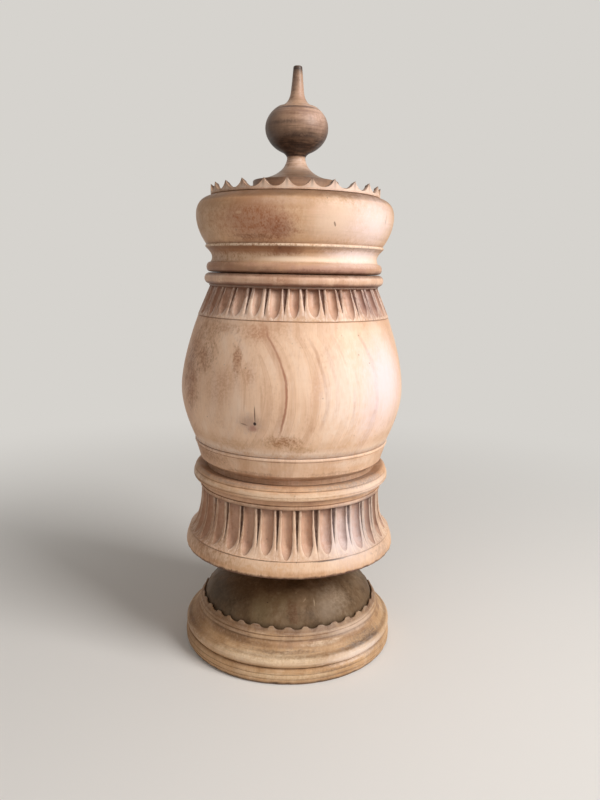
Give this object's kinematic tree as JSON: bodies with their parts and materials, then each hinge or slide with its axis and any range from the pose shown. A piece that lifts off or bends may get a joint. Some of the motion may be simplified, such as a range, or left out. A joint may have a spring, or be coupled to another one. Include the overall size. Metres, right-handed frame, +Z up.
{
  "type": "lidded cup",
  "caption": "Tall turned wooden friendship cup: hollow bowl with carved flutes, fluted skirt and moulded foot, and a lift-off domed lid with toothed gallery and spike finial.",
  "frame": {"origin": "centre of the foot's underside, on the surface it stands on", "axes": "+Z up along the turning axis, towards the finial; -Y is the front, as pictured"},
  "size_m": [0.1548, 0.1548, 0.4001],
  "materials": {
    "plinth_wood": "worn waxed light hardwood, brown in the grooves",
    "pedestal_wood": "dark stained hardwood with light scratches",
    "skirt_wood": "pale bare hardwood, pinkish in the gouged flutes",
    "collar_wood": "worn waxed light hardwood with dark fine lines",
    "bowl_wood": "pale peach hardwood with brown blotches and a knot",
    "dowel_wood": "plain beech dowel",
    "lid_wood": "worn waxed hardwood, reddish brown stain on one side",
    "gallery_wood": "pale knife-cut hardwood with dark tips",
    "finial_wood": "dark patinated hardwood, worn pale on the high spots"
  },
  "bodies": {
    "cup": {"foot_plinth": "plinth_wood", "pedestal": "pedestal_wood", "skirt": "skirt_wood", "collar_ring": "collar_wood", "bowl": "bowl_wood", "centre_dowel": "dowel_wood"},
    "lid": {"lid_shell": "lid_wood", "gallery_ring": "gallery_wood", "finial": "finial_wood"}
  },
  "joints": [
    {"name": "lid_lift", "type": "slide", "parent": "cup", "child": "lid", "axis": [0, 0, 1], "range_m": [0, 0.12]}
  ]
}
